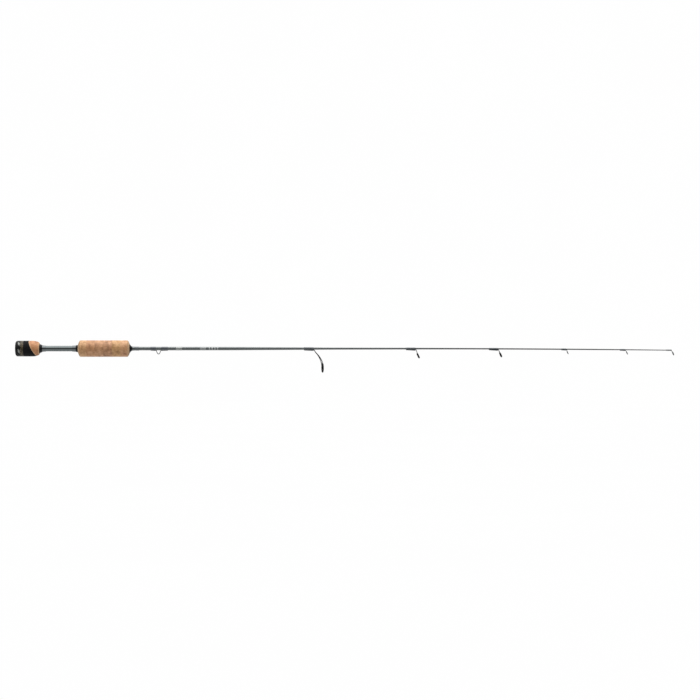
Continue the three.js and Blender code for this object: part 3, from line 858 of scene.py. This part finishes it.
def build_foregrip():
    rear = span("cork_ring_1")[0]
    front = span(f"cork_ring_{CORK_RINGS}")[1]
    full = outer_radius("cork_ring_1")
    length = (front - rear) / CORK_RINGS
    sides = round(2 * math.pi * full / CORK_STEP)
    tones = (
        (srgb(232, 186, 138), srgb(212, 162, 112), srgb(172, 118, 72)),
        (srgb(226, 174, 128), srgb(200, 144, 98), srgb(142, 88, 48)),
        (srgb(224, 172, 128), srgb(200, 146, 102), srgb(148, 94, 56)),
        (srgb(226, 174, 132), srgb(194, 141, 99), srgb(138, 88, 54)),
        (srgb(232, 188, 134), srgb(208, 158, 104), srgb(164, 116, 66)),
        (srgb(232, 184, 138), srgb(209, 156, 110), srgb(164, 110, 70)),
    )
    for i, ring_tones in enumerate(tones):
        low = rear + i * length + (CORK_SEAM if i else 0)
        high = rear + (i + 1) * length
        outline = [(x, grip_radius(x, rear, front, full)) for x in stepped(low, high, CORK_STEP)]
        if i:
            outline[0] = (low, outline[0][1] - GLUE_LINE)
        if i < CORK_RINGS - 1:
            outline[-1] = (high, outline[-1][1] - GLUE_LINE)
        shape = turned(bored(outline, HANDLE_BORE), sides)
        shape = pitted(shape, 17.0 + 5.3 * i, GRIP_PIT_DEPTH)
        shape.mark("edge", lambda p: GRIP_END_WEAR * smooth(min(p.x - rear, front - p.x),
                                                            *WORN_AT_GRIP_END))
        look = cork(f"grip_cork_{i + 1}", *ring_tones, 4.7 * i, srgb(226, 198, 158))
        add_piece(f"cork_ring_{i + 1}", shape, look)


def build_bushes():
    """The bushes are hidden inside the tube and keep their CAD shape, with a wound tape finish."""
    recipe = Recipe("bush_tape", {"Roughness": 0.75})
    turn = recipe.spiral(BUSH_PITCH)
    fibre = recipe.noise(recipe.place, 2.0, 4.0)
    shade = recipe.total((turn, 0.2), (fibre, 1))
    colour = recipe.blend(shade, 0.3, 0.7, srgb(188, 176, 142), srgb(214, 206, 182))
    recipe.paint("Base Color", colour)
    recipe.relief(turn, 0.03)
    for node in ("blank_bush_rear", "blank_bush_front"):
        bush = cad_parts[node]
        bush.data.materials.clear()
        bush.data.materials.append(recipe.material)


# ---- Blank and thread wraps -------------------------------------------------------------------

def build_blank():
    rear, front = BLANK[0][0], BLANK[-1][0]
    corners = sorted({*stepped(rear, front, BLANK_STEP), *(x for x, _ in BLANK)})
    outline = [(rear, 0), *((x, blank_radius(x)) for x in corners), (front, 0)]
    add_piece("blank", turned(outline, BLANK_SIDES).droop(), graphite())


def foot_share(x, foot):
    """Share of a foot's full thickness at x: it is ground down from its heel to its toe."""
    along = (x - foot["toe"]) / (foot["heel"] - foot["toe"])
    return FOOT_TOE + (1 - FOOT_TOE) * min(1.0, max(0.0, along))


def over_foot(point, radius, foot):
    """Moves a point of a round wrap out over the foot's one or two oval wires."""
    distance = math.hypot(point.y, point.z)
    out = Vector((point.y, point.z)) / distance
    towards_toe = math.copysign(1, foot["toe"] - foot["heel"])
    under = 1 - smooth((point.x - foot["toe"]) * towards_toe, *TOE_FADE)
    if under < 0.01:
        return point
    dip = 1 - HEEL_DIP_SHARE * smooth(abs(point.x - foot["heel"]), *HEEL_DIP)
    thickness = under * (foot["thickness"] + foot["bulk"]) * foot_share(point.x, foot) * dip
    width = under * foot["width"]
    scale = math.hypot(width * out.x, thickness * out.y)
    oval = Vector((width ** 2 * out.x, thickness ** 2 * out.y)) / scale
    furthest = Vector((under * math.copysign(foot["apart"], out.x), -radius - thickness)) + oval
    if furthest.dot(out) <= radius:
        return point
    furthest += out * (distance - radius)
    return Vector((point.x, furthest.x, furthest.y))


def build_wrap(node, varnish, material, foot=None):
    """A thread wrap: rounds of thread under varnish that thins out at both ends."""
    rear, front = span(node)
    end = min(VARNISH_END, (front - rear) / 5)
    core = blank_radius(rear) + SEAM / 2
    outline = []
    for x in stepped(rear, front, THREAD_PITCH / 4):
        inward = min(x - rear, front - x)
        cover = varnish * math.sqrt(smooth(inward, -0.02, end))
        ridge = THREAD_RELIEF * math.cos(2 * math.pi * x / THREAD_PITCH)
        ridge *= smooth(inward, BARE_VARNISH, end)
        outline.append((x, blank_radius(x) + SEAM + cover + ridge))
    shape = turned(bored(outline, core), BLANK_SIDES)
    for i, point in enumerate(shape.points):
        if math.hypot(point.y, point.z) <= core + 1e-6:
            grow = (blank_radius(point.x) + SEAM / 2) / core
            shape.points[i] = Vector((point.x, point.y * grow, point.z * grow))
        elif foot:
            shape.points[i] = over_foot(point, blank_radius(point.x), foot)
    shape.mark("thread", lambda p: smooth(min(p.x - rear, front - p.x), BARE_VARNISH - MARK_BLUR,
                                          BARE_VARNISH + MARK_BLUR))
    add_piece(node, shape.droop(), material, 50)


def build_plain_wraps():
    blue_black = varnished_thread("front_thread", srgb(106, 113, 116), srgb(78, 83, 86))
    build_wrap("front_wrap", FRONT_VARNISH, blue_black)
    silver = varnished_thread("silver_thread", srgb(186, 190, 187), srgb(132, 136, 133))
    build_wrap("trim_wrap", TRIM_VARNISH, silver)


# ---- Hook keeper ------------------------------------------------------------------------------

def build_keeper():
    rear_wrap = span("keeper_wrap_rear")
    front_wrap = span("keeper_wrap_front")
    bends = (rear_wrap[1] + KEEPER_OVERHANG, front_wrap[0] - KEEPER_OVERHANG)
    toes = (rear_wrap[0] + KEEPER_TOE, front_wrap[1] - KEEPER_TOE)
    middle = (bends[0] + bends[1]) / 2
    half_width, half_thickness = KEEPER_FOOT
    foot_height = -blank_radius(bends[0]) - SEAM - half_thickness

    def half(toe, sign):
        inner = middle + sign * KEEPER_ROUNDED_FROM
        flat = [(toe, foot_height), ((toe + inner) / 2, foot_height), (inner, foot_height)]
        return flat + [(middle + sign * out, height) for out, height in KEEPER_LEG]

    outline = [*half(toes[0], -1), (middle, -KEEPER_DEPTH), *half(toes[1], 1)[::-1]]
    wire = swept(smooth_path([(x, 0, z) for x, z in outline], KEEPER_STEP), KEEPER_WIRE, 16)

    def flattened(point):
        flat = smooth(abs(point.x - middle), KEEPER_LEG[1][0], KEEPER_ROUNDED_FROM)
        y = point.y * (1 + flat * (half_width / KEEPER_WIRE - 1))
        z = foot_height + (point.z - foot_height) * (1 + flat * (half_thickness / KEEPER_WIRE - 1))
        return (point.x, y, z)

    wire.move(flattened)
    feet = [{"toe": toe, "heel": heel, "apart": 0.0, "width": half_width,
             "thickness": half_thickness, "bulk": KEEPER_BULK} for toe, heel in zip(toes, bends)]
    for foot in feet:
        wire.move(lambda p: ground(p, foot))
    add_piece("hook_keeper", wire, plated_wire("keeper_wire", srgb(96, 100, 100), 0.25), 60)
    look = varnished_thread("keeper_thread", srgb(88, 95, 102), srgb(58, 63, 69))
    build_wrap("keeper_wrap_rear", KEEPER_VARNISH, look, feet[0])
    build_wrap("keeper_wrap_front", KEEPER_VARNISH, look, feet[1])


def ground(point, foot):
    """Thins a foot towards the blank from its heel to its toe."""
    towards_toe = math.copysign(1, foot["toe"] - foot["heel"])
    if (point.x - foot["heel"]) * towards_toe < 0:
        return point
    surface = -blank_radius(point.x)
    return Vector((point.x, point.y, surface + (point.z - surface) * foot_share(point.x, foot)))


# ---- Line guides ------------------------------------------------------------------------------

def ring_sizes(guide):
    loop = guide["outer"] / 2 - guide["wire"]
    bezel = loop + BEZEL_RISE * guide["wire"]
    bezel_bore = bezel - BEZEL_WALL * guide["wire"]
    ring = bezel_bore - RING_GAP
    return {"loop": loop, "bezel": bezel, "bezel_bore": bezel_bore, "ring": ring,
            "bore": ring * RING_BORE}


def ring_frame(guide):
    """The ring plane's turn and place, as a matrix for a piece turned about the X axis."""
    lean = Matrix.Rotation(-math.radians(90 - guide["lean"]), 4, "Y")
    twist = Matrix.Rotation(math.radians(guide["twist"]), 4, "Z")
    return Matrix.Translation(guide["centre"]) @ twist @ lean


def in_plane(guide, aside, down):
    """A point in the ring's plane, aside towards +Y and down the plane from the ring's centre."""
    return ring_frame(guide) @ Vector((0, aside, -down))


def loop_points(guide):
    loop = ring_sizes(guide)["loop"]
    angles = [math.pi * step / 6 for step in range(7)]
    return [in_plane(guide, loop * math.cos(angle), loop * math.sin(angle)) for angle in angles]


def leg_points(guide, foot, side):
    """One leg from its toe to the side of the ring, 1 towards +Y and -1 towards -Y."""
    loop = ring_sizes(guide)["loop"]

    def on_blank(x):
        return Vector((x, side * foot["apart"], -blank_radius(x) - SEAM - guide["wire"]))

    start = on_blank(foot["heel"])
    spread = side * LEG_SPREAD * (loop - foot["apart"])
    bend = start + Vector((guide["bow"][0], spread, guide["bow"][1]))
    high = in_plane(guide, side * loop, -guide["reach"])
    low = in_plane(guide, side * loop, 0)
    leg = []
    for t in (0, 0.2, 0.4, 0.6, 0.8):
        s = 1 - t
        leg.append(s ** 3 * start + 3 * s * s * t * bend + 3 * s * t * t * high + t ** 3 * low)
    stops = [foot["toe"] + share * (foot["heel"] - foot["toe"]) for share in (0, 0.5, 0.9)]
    return [on_blank(x) for x in stops] + leg


def bezel_of(guide):
    sizes = ring_sizes(guide)
    half = BEZEL_WIDTH * guide["width"] / 2
    outline = bored([(-half, sizes["bezel"]), (half, sizes["bezel"])], sizes["bezel_bore"])
    return turned(eased(outline, BEZEL_EASE), RING_SIDES).move(lambda p: ring_frame(guide) @ p)


def ceramic_ring(guide):
    sizes = ring_sizes(guide)
    middle = (sizes["ring"] + sizes["bore"]) / 2
    half = (sizes["ring"] - sizes["bore"]) / 2
    outline = []
    for step in range(25):
        angle = 2 * math.pi * (step % 24) / 24
        across = math.copysign(abs(math.sin(angle)) ** 0.8, math.sin(angle))
        out = math.copysign(abs(math.cos(angle)) ** 0.8, math.cos(angle))
        outline.append((across * guide["width"] / 2, middle + out * half))
    return turned(outline, RING_SIDES).move(lambda p: ring_frame(guide) @ p)


def centred(guide, node):
    """A guide with its ring's centre, measured on the CAD ring, before the droop is added."""
    middle = middle_of(node)
    return {**guide, "centre": Vector((middle.x, 0, middle.z + droop(middle.x)))}


def build_guide(number, guide, materials):
    guide = centred(guide, f"guide_{number}_ring")
    rear, front = span(f"guide_{number}_wrap")
    wire = guide["wire"]
    foot = {"toe": rear + FOOT_TOE_INSIDE, "heel": front + FOOT_HEEL_OUTSIDE,
            "apart": wire + FEET_GAP, "width": wire, "thickness": wire, "bulk": guide["bulk"]}
    corners = [*leg_points(guide, foot, 1), *loop_points(guide), *leg_points(guide, foot, -1)[::-1]]
    legs = swept(smooth_path(corners, wire * WIRE_STEP), wire).move(lambda p: ground(p, foot))
    mesh = united(f"guide_{number}_frame_look", [legs.droop(), bezel_of(guide).droop()])
    add_piece(f"guide_{number}_frame", mesh, materials["frame"], 60)
    add_piece(f"guide_{number}_ring", ceramic_ring(guide).droop(), materials["ring"], 60)
    build_wrap(f"guide_{number}_wrap", guide["varnish"], materials["thread"], foot)


def build_tip(materials):
    tip = centred(TIP, "tip_ring")
    rear = span("tip_frame")[0]
    front = rear + tip["length"]
    bore = blank_radius(rear) + SEAM
    outside = [(rear, bore), (rear, tip["tube"]), (front, tip["tube"]), (front, 0)]
    inside = [(front - tip["wall"], 0), (front - tip["wall"], bore), (rear, bore)]
    tube = blind_tube(eased(outside, TIP_EASE), inside)
    loop = ring_sizes(tip)["loop"]

    def brace(side):
        points = [Vector((front + past, side * aside, height)) for past, aside, height in tip["brace"]]
        return [*points, in_plane(tip, side * SHOULDER * loop, -SHOULDER * loop)]

    corners = [*brace(1), *loop_points(tip), *brace(-1)[::-1]]
    wire = swept(smooth_path(corners, tip["wire"] * WIRE_STEP), tip["wire"])
    mesh = united("tip_frame_look", [tube.droop(), wire.droop(), bezel_of(tip).droop()])
    add_piece("tip_frame", mesh, materials["frame"], 60)
    add_piece("tip_ring", ceramic_ring(tip).droop(), materials["ring"], 60)


def blind_tube(outside, inside):
    """A tube closed at its front: both outlines meet the axis there, and each other at the rear."""
    outer = turned(outside, BLANK_SIDES)
    inner = turned(inside, BLANK_SIDES)
    points = list(outer.points)
    index = []
    for point in inner.points:
        shared = [i for i, other in enumerate(outer.points) if (other - point).length < 1e-6]
        index.append(shared[0] if shared else len(points))
        if not shared:
            points.append(point)
    return Shape(points, [*outer.faces, *(tuple(index[i] for i in face) for face in inner.faces)])


def build_guides():
    black = plated_wire("guide_wire_black", srgb(30, 31, 31), 0.25)
    grey = plated_wire("guide_wire_grey", srgb(98, 101, 101), 0.22)
    ring = ceramic()
    thread = varnished_thread("guide_thread", srgb(91, 98, 102), srgb(60, 65, 69))
    for number, guide in enumerate(GUIDES, 1):
        wire = black if number <= 3 else grey
        build_guide(number, guide, {"frame": wire, "ring": ring, "thread": thread})
    build_tip({"frame": grey, "ring": ring})


# ---- Studio -----------------------------------------------------------------------------------

CAMERA_ASIDE = 7.1          # how far the camera stands ahead of the rod's middle
CAMERA_HEIGHT = -1.95
CAMERA_DISTANCE = 3190.0
CAMERA_LENS = 118.15
FLOOR_BELOW = 300.0
FLOOR_THICKNESS = 10.0
STUDIO_RADIUS = 12000.0     # of the floor and of the backdrop dome
STUDIO_STEPS = 64           # of a full turn

# Brightness of the soft surroundings, from straight down to straight up: [height, brightness],
# where height is the sine of the elevation.
SURROUND = ((-1.0, 0.8), (-0.7, 0.72), (-0.4, 0.66), (-0.2, 0.05), (0.2, 0.05), (0.45, 0.7),
            (0.75, 1.3), (0.95, 1.95))
SURROUND_FULL = 2.0

# Lamps: the place in metres from the rod's middle, the power, and whether polished pieces show it.
LAMPS = {
    "softbox": {"place": (0.1, -0.5, 2.2), "power": 4, "mirrored": True},
    "overhead": {"place": (0.0, 0.1, 2.2), "power": 17, "mirrored": False},
}
LAMP_SIZE = (1.6, 0.6)


def seen_only(obj):
    """The camera sees it, but it neither lights the rod nor shows in it."""
    obj.visible_diffuse = False
    obj.visible_glossy = False
    obj.visible_transmission = False
    obj.visible_shadow = False


def white_paint(name):
    """Studio white that shines by itself, so that it looks the same all over, with a faint mottle."""
    recipe = Recipe(name, {"Base Color": (0, 0, 0, 1), "Roughness": 1.0, "Specular IOR Level": 0.0,
                           "Emission Strength": 1.0})
    cloud = recipe.noise(recipe.place, 0.002, 2.0)
    recipe.paint("Emission Color", recipe.mix(cloud, srgb(254, 254, 254), srgb(255, 255, 255)))
    return recipe.material


def build_stage():
    """A white floor that runs out to a white dome."""
    paint = white_paint("studio_white")
    level = cad_box[0].z / MM - FLOOR_BELOW
    bottom = level - FLOOR_THICKNESS
    outline = [(bottom, 0), (bottom, STUDIO_RADIUS), (level, STUDIO_RADIUS), (level, 0)]
    floor = turned(outline, STUDIO_STEPS)
    angles = [2 * math.pi * step / STUDIO_STEPS for step in range(1, STUDIO_STEPS // 2)]
    outline = [(-STUDIO_RADIUS * math.cos(a), STUDIO_RADIUS * math.sin(a)) for a in angles]
    dome = turned([(-STUDIO_RADIUS, 0), *outline, (STUDIO_RADIUS, 0)], STUDIO_STEPS)
    for name, shape in (("floor", floor), ("backdrop", dome)):
        shape.move(lambda p: (-p.z, p.y, p.x))
        mesh = shape.mesh(name)
        mesh.materials.append(paint)
        mesh.shade_smooth()
        obj = new_object(name, mesh)
        seen_only(obj)


def build_surround():
    """Soft studio surroundings: bright overhead, weaker below and dark level with the rod."""
    world = bpy.data.worlds.new("studio")
    bpy.context.scene.world = world
    world.use_nodes = True
    tree = world.node_tree
    direction = tree.nodes.new("ShaderNodeTexCoord").outputs["Generated"]
    parts = tree.nodes.new("ShaderNodeSeparateXYZ")
    tree.links.new(direction, parts.inputs[0])
    share = tree.nodes.new("ShaderNodeMapRange")
    share.inputs["From Min"].default_value = -1.0
    tree.links.new(parts.outputs[2], share.inputs["Value"])
    ramp = tree.nodes.new("ShaderNodeValToRGB")
    stops = ramp.color_ramp.elements
    while len(stops) < len(SURROUND):
        stops.new(0.5)
    for stop, (height, brightness) in zip(stops, SURROUND):
        stop.position = (height + 1) / 2
        share_of_full = brightness / SURROUND_FULL
        stop.color = (share_of_full, share_of_full, share_of_full, 1.0)
    tree.links.new(share.outputs[0], ramp.inputs[0])
    tree.links.new(ramp.outputs[0], tree.nodes["Background"].inputs["Color"])
    tree.nodes["Background"].inputs["Strength"].default_value = SURROUND_FULL


def build_lamps():
    """Soft rectangular lamps that face the rod's middle."""
    middle = (cad_box[0] + cad_box[1]) / 2
    for name, settings in LAMPS.items():
        place = Vector(settings["place"])
        lamp = bpy.data.lights.new(name, "AREA")
        lamp.shape = "RECTANGLE"
        lamp.size, lamp.size_y = LAMP_SIZE
        lamp.energy = settings["power"]
        obj = new_object(name, lamp)
        obj.location = middle + place
        obj.rotation_euler = (-place).to_track_quat("-Z", "Y").to_euler()
        obj.visible_glossy = settings["mirrored"]


def build_camera():
    middle = (cad_box[0] + cad_box[1]) / 2
    camera = bpy.data.cameras.new("camera")
    camera.lens = CAMERA_LENS
    camera.clip_end = 100
    obj = new_object("camera", camera)
    obj.location = (middle.x + CAMERA_ASIDE * MM, -CAMERA_DISTANCE * MM, CAMERA_HEIGHT * MM)
    obj.rotation_euler = (math.pi / 2, 0, 0)
    bpy.context.scene.camera = obj


# ---- The scene --------------------------------------------------------------------------------

build_camera()
build_stage()
build_surround()
build_lamps()
bpy.context.scene.view_settings.view_transform = "Standard"

build_cap()
build_band()
build_knob()
build_tube()
build_trim()
build_foregrip()
build_bushes()
build_blank()
build_plain_wraps()
build_keeper()
build_guides()
